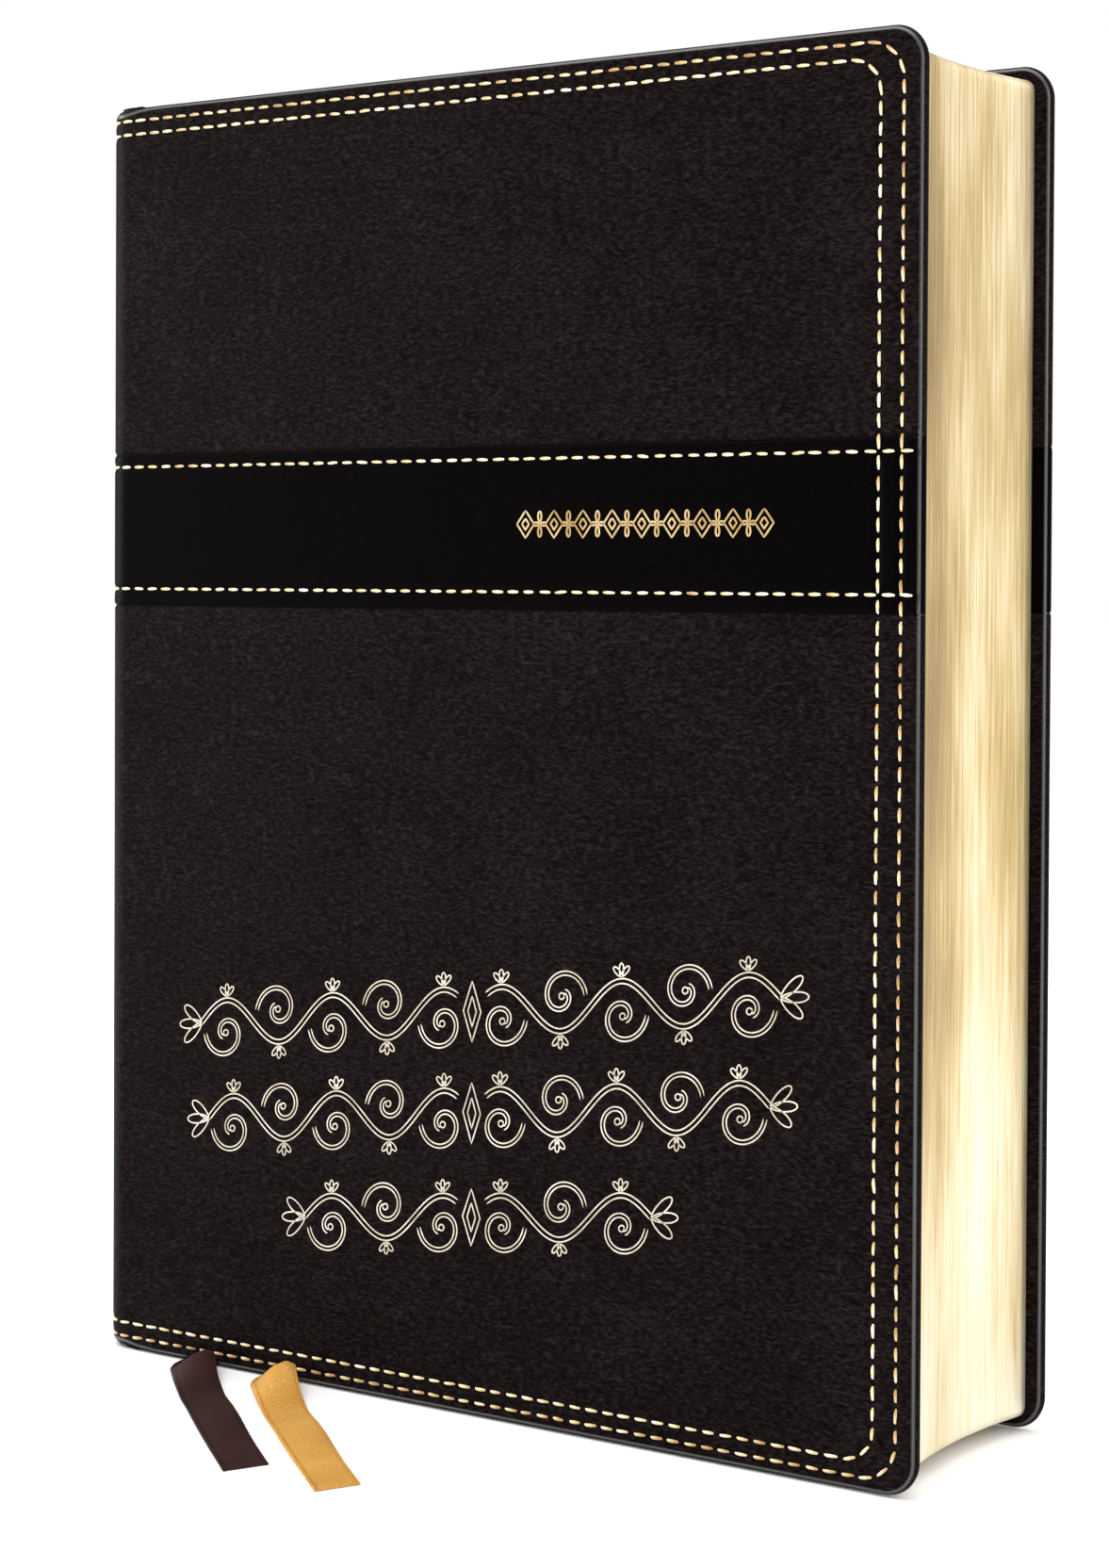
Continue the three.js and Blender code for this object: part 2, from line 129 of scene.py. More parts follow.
def make_camera():
    right, forward = turned(Vector((1, 0, 0)), Vector((0, 1, 0)), CAMERA_YAW)
    up, forward = turned(Vector((0, 0, 1)), forward, CAMERA_PITCH)
    right, up = turned(right, up, CAMERA_ROLL)
    data = bpy.data.cameras.new("camera")
    data.lens = CAMERA_LENS
    data.sensor_width = 36
    data.shift_y = CAMERA_SHIFT
    data.clip_start = 0.01
    camera = bpy.data.objects.new("camera", data)
    turn = Matrix((right, up, -forward)).transposed()
    camera.matrix_world = Matrix.Translation(CAMERA_PLACE) @ turn.to_4x4()
    bpy.context.collection.objects.link(camera)
    bpy.context.scene.camera = camera


make_camera()


class Graph:
    """Adds nodes to a tree of shader nodes."""

    def __init__(self, tree):
        self.tree = tree

    def into(self, node, inputs):
        for key, value in inputs.items():
            socket = node.inputs[key]
            if isinstance(value, bpy.types.NodeSocket):
                self.tree.links.new(value, socket)
            else:
                socket.default_value = value

    def node(self, kind, inputs=(), **settings):
        made = self.tree.nodes.new("ShaderNode" + kind)
        for key, value in settings.items():
            setattr(made, key, value)
        self.into(made, dict(inputs))
        return made

    def math(self, operation, a, b=0.0, c=0.0):
        return self.node("Math", {0: a, 1: b, 2: c}, operation=operation).outputs[0]

    def wave(self, value, pitch):
        return self.math("SINE", self.math("MULTIPLY", value, 2 * math.pi / pitch))

    def away(self, value, centre):
        return self.math("ABSOLUTE", self.math("SUBTRACT", value, centre))

    def near(self, value, centre, reach):
        return self.math("LESS_THAN", self.away(value, centre), reach)

    def span(self, value, start, end, at_start, at_end):
        """Runs from at_start to at_end while the value goes from start to end."""
        return self.node("MapRange", {0: value, 1: start, 2: end, 3: at_start, 4: at_end}).outputs[0]

    def attribute(self, name):
        return self.node("Attribute", attribute_name=name).outputs["Vector"]

    def object_place(self):
        return self.node("TexCoord").outputs["Object"]

    def xyz(self, vector):
        return self.node("SeparateXYZ", {0: vector}).outputs

    def noise(self, vector, scale, detail=3.0, roughness=0.5, output="Fac"):
        """Noise with its own scale along each axis, in cells a metre."""
        place = self.node("VectorMath", {0: vector, 1: scale}, operation="MULTIPLY").outputs[0]
        inputs = {"Vector": place, "Scale": 1.0, "Detail": detail, "Roughness": roughness}
        return self.node("TexNoise", inputs).outputs[output]

    def ramp(self, value, stops):
        made = self.node("ValToRGB", {"Fac": value})
        elements = made.color_ramp.elements
        while len(elements) < len(stops):
            elements.new(0.5)
        for element, (place, colour) in zip(elements, stops):
            element.position = place
            element.color = (*colour, 1)
        return made.outputs["Color"]

    def bump(self, height, distance, strength=1.0, **under):
        """A relief, over another one if it is given as Normal."""
        inputs = {"Height": height, "Distance": distance, "Strength": strength, **under}
        return self.node("Bump", inputs).outputs["Normal"]


def socket_names(sockets):
    return {key.replace("_", " "): value for key, value in sockets.items()}


class Shader(Graph):
    """A node material with one Principled BSDF. An underscore in a socket's name stands for a space."""

    def __init__(self, name, **sockets):
        self.material = bpy.data.materials.new(name)
        self.material.use_nodes = True
        super().__init__(self.material.node_tree)
        self.bsdf = self.tree.nodes["Principled BSDF"]
        self.into(self.bsdf, socket_names(sockets))

    def finish(self, colour, normal, **sockets):
        self.into(self.bsdf, {"Base Color": colour, "Normal": normal, **socket_names(sockets)})
        return self.material


def make_world():
    """White to the camera. To the object it is brightest overhead."""
    world = bpy.data.worlds.new("studio")
    world.use_nodes = True
    graph = Graph(world.node_tree)
    height = graph.xyz(graph.node("TexCoord").outputs["Generated"])["Z"]
    overhead = graph.span(height, 0.15, 1.0, SKY_LOW, SKY_HIGH)
    camera_ray = graph.node("LightPath").outputs["Is Camera Ray"]
    strength = graph.node("Mix", {"Factor": camera_ray, "A": overhead, "B": 1.0}).outputs["Result"]
    graph.into(world.node_tree.nodes["Background"], {"Color": (1, 1, 1, 1), "Strength": strength})
    bpy.context.scene.world = world
    bpy.context.scene.view_settings.view_transform = "Standard"


def softbox(name, place, size, power):
    """A rectangular lamp, aimed at the middle of the book."""
    data = bpy.data.lights.new(name, "AREA")
    data.shape = "RECTANGLE"
    data.size, data.size_y = size
    data.energy = power
    lamp = bpy.data.objects.new(name, data)
    lamp.location = place
    lamp.rotation_euler = (Vector(MIDDLE) - Vector(place)).to_track_quat("-Z", "Y").to_euler()
    bpy.context.collection.objects.link(lamp)


def make_floor():
    mesh = bpy.data.meshes.new("floor")
    corners = [(-1, -1), (1, -1), (1, 1), (-1, 1)]
    mesh.from_pydata([(FLOOR_HALF * x, FLOOR_HALF * y, 0) for x, y in corners], [], [(0, 1, 2, 3)])
    floor = bpy.data.objects.new("floor", mesh)
    bpy.context.collection.objects.link(floor)
    shader = Shader("floor", Base_Color=(0.93, 0.93, 0.93, 1), Roughness=0.9, Specular_IOR_Level=0.1)
    mesh.materials.append(shader.material)


SKY_LOW, SKY_HIGH = 0.22, 1.75
FLOOR_HALF = 6.0
MIDDLE = (0, 0, 0.12)
make_world()
make_floor()
softbox("fore_edge_softbox", (0.80, 0.95, 0.45), (1.3, 1.1), 4.5)
softbox("rim_softbox", (1.10, -0.75, 0.40), (0.28, 1.1), 8)
softbox("spine_softbox", (-1.4, -0.35, 0.35), (0.5, 0.9), 15)
softbox("top_softbox", (-0.2, -0.3, 1.6), (1.6, 1.6), 16)

# ---- meshes ------------------------------------------------------


def make_mesh(name, points, faces, material_of_face=None, materials=(), smooth=True):
    mesh = bpy.data.meshes.new(name)
    mesh.from_pydata([tuple(point) for point in points], [], faces)
    for material in materials:
        mesh.materials.append(material)
    if material_of_face is not None:
        mesh.polygons.foreach_set("material_index", material_of_face)
    mesh.polygons.foreach_set("use_smooth", [smooth] * len(mesh.polygons))
    piece = bpy.data.objects.new(name, mesh)
    bpy.context.collection.objects.link(piece)
    return piece


def store(piece, name, values):
    attribute = piece.data.attributes.new(name, "FLOAT_VECTOR", "POINT")
    attribute.data.foreach_set("vector", np.asarray(values, np.float32).ravel())


def apply_modifiers(piece):
    graph = bpy.context.evaluated_depsgraph_get()
    baked = bpy.data.meshes.new_from_object(piece.evaluated_get(graph), depsgraph=graph)
    piece.modifiers.clear()
    piece.data = baked


def lines(*stops):
    """Grid lines from (place, step) stops and a last place: each stretch is cut up by its own step."""
    *starts, last = stops
    ends = [place for place, _ in starts[1:]] + [last]
    found = []
    for (start, step), end in zip(starts, ends):
        count = max(1, round(abs(end - start) / step))
        found += [start + (end - start) * i / count for i in range(count)]
    return np.array(found + [last])


def round_corner(x, z, x_max, z_min, z_max, radius):
    """Bends a square grid into rounded fore-edge corners, and gives the distances in from the outline."""
    a = x_max - x
    low = z - z_min < z_max - z
    b = np.minimum(z - z_min, z_max - z)
    inset = np.minimum(a, b)
    inside = (a < radius) & (b < radius)
    p = np.where(inside, (radius - a) / radius, 0)
    q = np.where(inside, (radius - b) / radius, 0)
    most = np.maximum(p, q)
    length = np.hypot(p, q)
    scale = np.where(length > 0, most / np.where(length > 0, length, 1), 1)
    new_a = np.where(inside, radius - radius * p * scale, a)
    new_b = np.where(inside, radius - radius * q * scale, b)
    return x_max - new_a, np.where(low, z_min + new_b, z_max - new_b), inset


def wrap(u, depth, side):
    """Places a point of the unrolled case: u from the middle of the spine, depth in from the outer face."""
    angle = np.clip((u - FLAT_SPINE) / TURN_RADIUS, 0, math.pi / 2)
    radius = TURN_RADIUS - depth
    on_spine = np.minimum(u, FLAT_SPINE)
    past = np.maximum(u - FLAT_START, 0)
    x = SPINE_X + TURN_RADIUS - radius * np.cos(angle) + past
    y = on_spine + radius * np.sin(angle)
    return x, side * y


# ---- rows of stitching -------------------------------------------


def border_row(row):
    """Centreline of a border row in (u, z), from the spine along the head and round to the tail."""
    right, corner = FORE_U - FORE_ROWS[row], ROW_CORNERS[row]
    top, bottom = HEIGHT - HEAD_ROWS[row], HEAD_ROWS[row]
    turn = np.linspace(0, math.pi / 2, CORNER_POINTS)
    points = [(0, top)]
    points += [(right - corner + corner * math.sin(a), top - corner + corner * math.cos(a)) for a in turn]
    points += [(right - corner + corner * math.cos(a), bottom + corner - corner * math.sin(a)) for a in turn]
    return np.array(points + [(0, bottom)])


def band_row(row):
    return np.array([(0, BAND_ROWS[row]), (FORE_U - RIM, BAND_ROWS[row])])


ROWS = {
    "outer_border": border_row(0),
    "inner_border": border_row(1),
    "band_lower": band_row(0),
    "band_upper": band_row(1),
}


def distance_to_rows(u, z):
    """How far each point is from the nearest row of stitching."""
    found = np.full(u.shape, np.inf)
    for row in ROWS.values():
        for start, end in zip(row, row[1:]):
            step = end - start
            share = ((u - start[0]) * step[0] + (z - start[1]) * step[1]) / (step @ step)
            share = np.clip(share, 0, 1)
            away = np.hypot(u - start[0] - share * step[0], z - start[1] - share * step[1])
            found = np.minimum(found, away)
    return found


def along(row, place):
    """The point at a distance along a row."""
    ends = np.concatenate([[0], np.cumsum(np.hypot(*np.diff(row, axis=0).T))])
    return np.stack([np.interp(place, ends, row[:, 0]), np.interp(place, ends, row[:, 1])], -1)


def row_length(row):
    return float(np.hypot(*np.diff(row, axis=0).T).sum())


def groove(u, z):
    """How far the leather is drawn in along the rows of stitching."""
    return GROOVE_DEPTH * np.exp(-((distance_to_rows(u, z) / GROOVE_WIDTH) ** 2))


# ---- materials ---------------------------------------------------

# The gloss on a rim comes in over the first stretch of its fall, and goes out over the second.
GLOSS_STARTS = (0.02 * MM, 0.10 * MM)
GLOSS_ENDS = (0.16 * MM, 0.42 * MM)


def leather(name, stops, grain):
    """Fine leather-look grain: short waves across the book. Its rims are burnished to a soft gloss."""
    shader = Shader(
        name, Roughness=0.45, IOR=1.45, Specular_IOR_Level=0.02, Coat_Roughness=0.34, Coat_IOR=1.8,
    )
    place = shader.attribute("surface")
    sway = shader.noise(place, (260, 260, 260), 2.0, output="Color")
    bend = {0: sway, 1: (0.0010, 0.0010, 0.0026), 2: place}
    bent = shader.node("VectorMath", bend, operation="MULTIPLY_ADD").outputs[0]
    waves = shader.noise(bent, (760, 2300, 2300), 3.0, 0.62)
    fine = shader.noise(place, (1900, 3600, 4200), 2.0, 0.6)
    cloud = shader.noise(place, (45, 60, 60))
    height = shader.math("MULTIPLY_ADD", fine, 0.3, waves)
    tone = shader.math("MULTIPLY_ADD", cloud, 0.12, shader.math("MULTIPLY", waves, 0.88))
    fall = shader.math("SUBTRACT", WALL / 2, shader.away(shader.xyz(place)["Y"], WALL / 2))
    coming, going = shader.span(fall, *GLOSS_STARTS, 0.0, 1.0), shader.span(fall, *GLOSS_ENDS, 1.0, 0.0)
    return shader.finish(
        shader.ramp(tone, stops), shader.bump(height, 0.22 * MM, grain),
        Coat_Weight=shader.math("MULTIPLY", coming, going), Coat_Normal=shader.bump(waves, 0.05 * MM, 0.4),
    )


def thread_material():
    """Silk twist, from golden brown to cream by the stitches' own tint, which also holds a painted highlight
    towards one end of each stitch.
    """
    shader = Shader("stitching_thread", Roughness=0.42, Sheen_Weight=0.3)
    split = shader.xyz(shader.attribute("tint_and_highlight"))
    stops = (
        (0.0, (0.24, 0.105, 0.028)), (0.35, (0.50, 0.29, 0.09)),
        (0.65, (0.80, 0.64, 0.35)), (1.0, (0.93, 0.86, 0.66)),
    )
    strand = shader.math("SINE", shader.math("MULTIPLY", split["Y"], 9500))
    return shader.finish(shader.ramp(split["X"], stops), shader.bump(strand, 0.03 * MM, 0.6))


# Painted reflection: how much paler the gilt is painted, by height as a share of the book's.
GILT_PAINTED_REFLECTION = ((0.02, 1.0), (0.18, 0.65), (0.34, 0.12), (0.8, 0.1), (1.0, 0.45))
GILT_TONES = (
    (0.28, (0.29, 0.185, 0.062)), (0.36, (0.385, 0.265, 0.10)), (0.45, (0.57, 0.43, 0.205)),
    (0.54, (0.76, 0.64, 0.41)), (0.66, (0.86, 0.81, 0.66)),
)


def gilt_material():
    """Gold leaf on the cut edges of the paper, with fine lines along the leaves. It is painted pale at the tail
    as a painted reflection, and above that it is painted darker towards the front cover as painted shade."""
    shader = Shader("gilt_edge", Metallic=0.8, IOR=1.45, Specular_IOR_Level=0.3)
    place = shader.object_place()
    split = shader.xyz(place)
    share = shader.math("MULTIPLY", split["Z"], 1 / HEIGHT)
    # Painted reflection: the gilt is made paler by height, most of all at the tail.
    painted_reflection = shader.ramp(share, [(height, (grey,) * 3) for height, grey in GILT_PAINTED_REFLECTION])
    # Painted shade: above the tail, the gilt is darkened towards the front cover.
    across = shader.span(split["Y"], -HALF, 0.1 * HALF, -0.22, 0.0)
    across = shader.math("MULTIPLY", across, shader.span(share, 0.08, 0.32, 0.0, 1.0))
    leaves = shader.noise(place, (700, 4200, 10), 2.0, 0.6)
    streaks = shader.noise(place, (500, 1500, 30), 3.0, 0.65)
    scratches = shader.noise(place, (1500, 4600, 90), 3.0, 0.7)
    cloud = shader.noise(place, (60, 75, 22), 2.0, 0.4)
    tone = shader.math("MULTIPLY_ADD", streaks, 0.30, shader.math("MULTIPLY", cloud, 0.36))
    tone = shader.math("MULTIPLY_ADD", scratches, 0.24, tone)
    tone = shader.math("MULTIPLY_ADD", painted_reflection, 0.17, shader.math("ADD", tone, across))
    fine = shader.bump(leaves, 0.012 * MM, 0.4)
    return shader.finish(
        shader.ramp(tone, GILT_TONES), shader.bump(streaks, 0.04 * MM, 0.4, Normal=fine),
        Roughness=shader.math("MULTIPLY_ADD", cloud, 0.15, 0.30),
    )


TEXT_PITCH = 3.1 * MM
TEXT_WIDTH = 64 * MM
TEXT_HEIGHT = 202 * MM
TEXT_COLUMNS = (47 * MM, 118 * MM)  # middles, from the inside of the spine


def printed_paper(name, stops):
    """Paper with a faint fibre and two columns of plain grey dashes."""
    shader = Shader(name, Roughness=0.82)
    fibre = shader.noise(shader.object_place(), (900, 900, 900), 4.0, 0.65)
    split = shader.xyz(shader.attribute("surface"))
    across, up = split["X"], split["Z"]
    row = shader.math("MULTIPLY", up, 1 / TEXT_PITCH)
    ink = shader.math("LESS_THAN", shader.math("FRACT", row), 0.4)
    words = shader.node("CombineXYZ", {0: across, 1: shader.math("FLOOR", row)}).outputs[0]
    gaps = shader.math("GREATER_THAN", shader.noise(words, (340, 1, 1), 0.0), 0.42)
    columns = [shader.near(across, centre, TEXT_WIDTH / 2) for centre in TEXT_COLUMNS]
    inside = shader.near(up, HEIGHT / 2, TEXT_HEIGHT / 2)
    for mask in (gaps, shader.math("ADD", *columns), inside):
        ink = shader.math("MULTIPLY", ink, mask)
    mixed = {0: shader.math("MULTIPLY", ink, 0.55), 6: shader.ramp(fibre, stops), 7: (0.16, 0.15, 0.14, 1)}
    colour = shader.node("Mix", mixed, data_type="RGBA").outputs[2]
    return shader.finish(colour, shader.bump(fibre, 0.02 * MM, 0.4))


def mottled(name, noise, stops, relief, **sockets):
    """One noise, as (scale, detail, roughness), that gives both the colour and a fine relief."""
    shader = Shader(name, **sockets)
    scale, detail, roughness = noise
    grain = shader.noise(shader.object_place(), (scale,) * 3, detail, roughness)
    return shader.finish(shader.ramp(grain, stops), shader.bump(grain, *relief))


def woven(name, pitch, stops):
    """Plain open weave: two sets of threads at right angles."""
    shader = Shader(name, Roughness=0.85, Sheen_Weight=0.2)
    split = shader.xyz(shader.object_place())
    crossed = shader.math("MULTIPLY", shader.wave(split["Z"], pitch), shader.wave(split["Y"], pitch))
    weave = shader.math("MULTIPLY_ADD", crossed, 0.5, 0.5)
    return shader.finish(shader.ramp(weave, stops), shader.bump(weave, 0.08 * MM, 0.8))


def headband_material():
    """Silk wound over a core in stripes of two colours."""
    shader = Shader("headband_silk", Roughness=0.5, Sheen_Weight=0.4)
    across = shader.xyz(shader.object_place())["Y"]
    stripe = shader.math("MULTIPLY_ADD", shader.wave(across, 2.4 * MM), 0.5, 0.5)
    strand = shader.wave(across, 0.3 * MM)
    stops = ((0.45, (0.045, 0.023, 0.019)), (0.55, (0.61, 0.34, 0.10)))
    return shader.finish(shader.ramp(stripe, stops), shader.bump(strand, 0.06 * MM, 0.8))


def satin(name, stops, sheen):
    """Satin ribbon: a sparkle of short floats, and small stitches along both edges."""
    shader = Shader(name, Roughness=0.5, Specular_IOR_Level=0.15, Sheen_Weight=sheen, Sheen_Roughness=0.3)
    place = shader.attribute("surface")
    split = shader.xyz(place)
    floats = shader.noise(place, (1500, 3400, 1), 2.0, 0.6)
    fine = shader.noise(place, (5200, 2600, 1), 2.0, 0.6)
    cloud = shader.noise(place, (90, 60, 1), 2.0)
    margin = shader.near(shader.math("ABSOLUTE", split["Y"]), 3.45 * MM, 0.16 * MM)
    beat = shader.math("MULTIPLY_ADD", shader.wave(split["X"], RIBBON_BEAD), 0.12, 0.14)
    tone = shader.math("MULTIPLY_ADD", cloud, 0.30, shader.math("MULTIPLY", floats, 0.70))
    tone = shader.math("SUBTRACT", tone, shader.math("MULTIPLY", margin, beat))
    height = shader.math("MULTIPLY_ADD", fine, 0.6, floats)
    return shader.finish(shader.ramp(tone, stops), shader.bump(height, 0.05 * MM, 0.6))


LEATHER = leather("cover_leather", (
    (0.34, (0.0016, 0.0008, 0.0008)), (0.5, (0.0060, 0.0037, 0.0037)), (0.68, (0.0185, 0.0135, 0.0137)),
), 0.8)
BAND_LEATHER = leather("band_leather", (
    (0.36, (0.0005, 0.0002, 0.0003)), (0.62, (0.0014, 0.0008, 0.0009)),
), 0.15)
THREAD_SILK = thread_material()
GILT = gilt_material()
PAPER = printed_paper("leaf_paper", ((0.3, (0.80, 0.75, 0.64)), (0.7, (0.90, 0.86, 0.77))))
ENDPAPER = mottled(
    "endpaper", (900, 4.0, 0.65), ((0.3, (0.74, 0.68, 0.56)), (0.7, (0.84, 0.79, 0.68))),
    (0.02 * MM, 0.4), Roughness=0.82,
)
CARD = mottled(
    "grey_card", (1400, 4.0, 0.7), ((0.3, (0.19, 0.17, 0.13)), (0.7, (0.33, 0.30, 0.25))),
    (0.05 * MM, 0.6), Roughness=0.9,
)
CLOTH = woven("mull_cloth", 0.9 * MM, ((0.2, (0.50, 0.46, 0.37)), (0.8, (0.84, 0.80, 0.70))))
SILK = headband_material()
BROWN_SATIN = satin("brown_satin", ((0.3, (0.010, 0.0030, 0.0020)), (0.68, (0.041, 0.0155, 0.0120))), 0.02)
GOLD_SATIN = satin("gold_satin", ((0.3, (0.36, 0.145, 0.016)), (0.68, (0.66, 0.375, 0.095))), 0.05)
FOIL = mottled(
    "stamped_foil", (160, 3.0, 0.6), ((0.35, (0.52, 0.33, 0.13)), (0.65, (0.86, 0.66, 0.36))),
    (0.04 * MM, 0.4), Metallic=0.75, Roughness=0.38,
)
PALE_FOIL = mottled(
    "pale_foil", (260, 3.0, 0.6), ((0.35, (0.55, 0.47, 0.36)), (0.65, (0.86, 0.79, 0.66))),
    (0.03 * MM, 0.4), Metallic=0.35, Roughness=0.45,
)

# ---- the case ----------------------------------------------------

SEAM_DEPTH = 0.3 * MM
SEAM_WIDTH = 0.35 * MM
BAND_PROUD = 0.06 * MM
CUFF = 5 * MM  # length over which the covers' rims swell into the spine's
CREASE_ANGLE = math.radians(50)

# Grid steps at the rims, at the band's seams and by the rows of stitching, and how far the last two reach.
RIM_STEP, SEAM_STEP, ROW_STEP = 0.16 * MM, 0.15 * MM, 0.34 * MM
SEAM_GAP = 0.02 * MM
SEAM_REACH = 1.2 * MM
BORDER_REACH = 12.5 * MM

CASE_U = lines(
    (0, 3 * MM), (FLAT_SPINE, 0.8 * MM), (FLAT_START, 0.6 * MM), (HINGE_U - FOLD, 0.25 * MM),
    (HINGE_U + FOLD, 4 * MM), (FORE_U - 15 * MM, ROW_STEP), (FORE_U - RIM, RIM_STEP), FORE_U,
)
LOWER_Z = lines(
    (TAIL_LIFT, RIM_STEP), (TAIL_LIFT + SPINE_RIM, ROW_STEP), (BORDER_REACH, 4 * MM),
    (BAND[0] - SEAM_REACH, SEAM_STEP), BAND[0] - SEAM_GAP,
)
BAND_Z = lines(
    (BAND[0] + SEAM_GAP, SEAM_STEP), (BAND[0] + SEAM_REACH, ROW_STEP), (BAND[0] + 5.2 * MM, 3 * MM),
    (BAND[1] - 4.6 * MM, ROW_STEP), (BAND[1] - SEAM_REACH, SEAM_STEP), BAND[1] - SEAM_GAP,
)
UPPER_Z = lines(
    (BAND[1] + SEAM_GAP, SEAM_STEP), (BAND[1] + SEAM_REACH, 4 * MM), (HEIGHT - BORDER_REACH, ROW_STEP),
    (HEIGHT - SPINE_RIM, RIM_STEP), HEIGHT,
)


def rim(inset, radius):
    """How far the face falls away towards the edge: a quarter circle."""
    close = np.clip(radius - inset, 0, radius)
    return radius - np.sqrt(radius ** 2 - close ** 2)


def case_length(name, z_lines, side, proud, material):
    """One length of the case's leather, from the middle of the spine round to the turned-in edges."""
    u, z = np.meshgrid(CASE_U, z_lines, indexing="ij")
    bent_u, bent_z, inset = round_corner(u, z, FORE_U, TAIL_LIFT, HEIGHT, COVER_CORNER)
    seam = np.minimum(abs(z - BAND[0]), abs(z - BAND[1]))
    fullness = np.clip((FLAT_START + CUFF - bent_u) / CUFF, 0, 1)
    outer_fall = rim(inset, RIM + (SPINE_RIM - RIM) * fullness)
    inner = WALL - rim(inset, RIM + (SPINE_INNER_RIM - RIM) * fullness)
    outer = outer_fall + groove(bent_u, bent_z) - proud + SEAM_DEPTH * np.exp(-((seam / SEAM_WIDTH) ** 2))
    outer = np.minimum(outer, np.maximum(outer_fall, WALL / 2 - 0.01 * MM))  # never past the middle of the wall
    rows, columns = u.shape
    count = rows * columns
    points, surface = [], []
    for depth, fall in ((outer, outer_fall), (inner, inner)):
        x, y = wrap(bent_u, depth, side)
        points.append(np.stack([x, y, bent_z], -1).reshape(-1, 3))
        surface.append(np.stack([bent_u, fall, bent_z], -1).reshape(-1, 3))

    def face(a, b, c, d):
        return (a, b, c, d) if side < 0 else (d, c, b, a)

    faces = []
    for i in range(rows - 1):
        for j in range(columns - 1):
            a, b = i * columns + j, (i + 1) * columns + j
            faces.append(face(a, b, b + 1, a + 1))
            if (inset[i, j] + inset[i + 1, j + 1]) / 2 < TURN_IN:
                faces.append(face(count + a + 1, count + b + 1, count + b, count + a))
    last = (rows - 1) * columns
    for j in range(columns - 1):
        faces.append(face(last + j, count + last + j, count + last + j + 1, last + j + 1))
    for j, edge in ((0, TAIL_LIFT), (columns - 1, HEIGHT)):
        if abs(z_lines[j] - edge) > 1e-9:
            continue
        for i in range(rows - 1):
            a, b = i * columns + j, (i + 1) * columns + j
            quad = (a, count + a, count + b, b)
            faces.append(face(*quad) if j == 0 else face(*quad[::-1]))
    used = sorted({index for quad in faces for index in quad})
    renumber = {old: new for new, old in enumerate(used)}
    faces = [tuple(renumber[index] for index in quad) for quad in faces]
    points, surface = np.concatenate(points)[used], np.concatenate(surface)[used]
    surface[:, 0] *= 1 if side < 0 else -1
    piece = make_mesh(name, points, faces, materials=[material])
    store(piece, "surface", surface)
    thick = piece.modifiers.new("skin", "SOLIDIFY")
    thick.thickness = SKIN
    thick.offset = -1
    apply_modifiers(piece)
    piece.data.set_sharp_from_angle(angle=CREASE_ANGLE)
    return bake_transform(piece)


def make_case():
    for cover, side in (("front", -1), ("back", 1)):
        for part, z_lines, proud, material, look in (
            ("lower_leather", LOWER_Z, 0, LEATHER, "cover_leather"),
            ("band", BAND_Z, BAND_PROUD, BAND_LEATHER, "band_leather"),
            ("upper_leather", UPPER_Z, 0, LEATHER, "cover_leather"),
        ):
            piece = case_length(f"{cover}_case_{part}", z_lines, side, proud, material)
            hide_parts(f"{cover}_{part}", f"spine_{part}")


make_case()

# ---- stitching ---------------------------------------------------

STITCH_RISE = 0.10 * MM  # of a stitch's middle above the leather
STITCH_DIP = 0.42 * MM  # how far its ends go down into the leather
STITCH_RINGS, STITCH_SIDES = 11, 10
# Spreads of a stitch's place, slope and tint about its row's.
STITCH_WANDER, STITCH_LEAN, STITCH_MOTTLE = 0.06 * MM, 0.035, 0.13


def one_stitch():
    """A slightly twisted oval cord: its points as (along, across, up) from its middle, and its faces."""
    points, faces = [], []
    for share in np.linspace(-1, 1, STITCH_RINGS):
        slim = math.sqrt(max(0.0, 1 - abs(share) ** 5))
        dip = STITCH_DIP * abs(share) ** 3
        for step in range(STITCH_SIDES):
            angle = 2 * math.pi * step / STITCH_SIDES
            radius = THREAD * slim * (1 + 0.10 * math.cos(2 * (angle - 2.6 * share)))
            up = 0.8 * radius * math.sin(angle) - dip
            points.append((share * STITCH_LENGTH / 2, radius * math.cos(angle), up))
    for start in range(0, (STITCH_RINGS - 1) * STITCH_SIDES, STITCH_SIDES):
        for step in range(STITCH_SIDES):
            a, b = start + step, start + (step + 1) % STITCH_SIDES
            faces.append((a, b, b + STITCH_SIDES, a + STITCH_SIDES))
    return np.array(points), faces


STITCH_POINTS, STITCH_FACES = one_stitch()

# How far each row's thread is towards cream, from golden brown.
THREAD_TONE = {"outer_border": 0.48, "inner_border": 0.72, "band_lower": 0.70, "band_upper": 0.70}


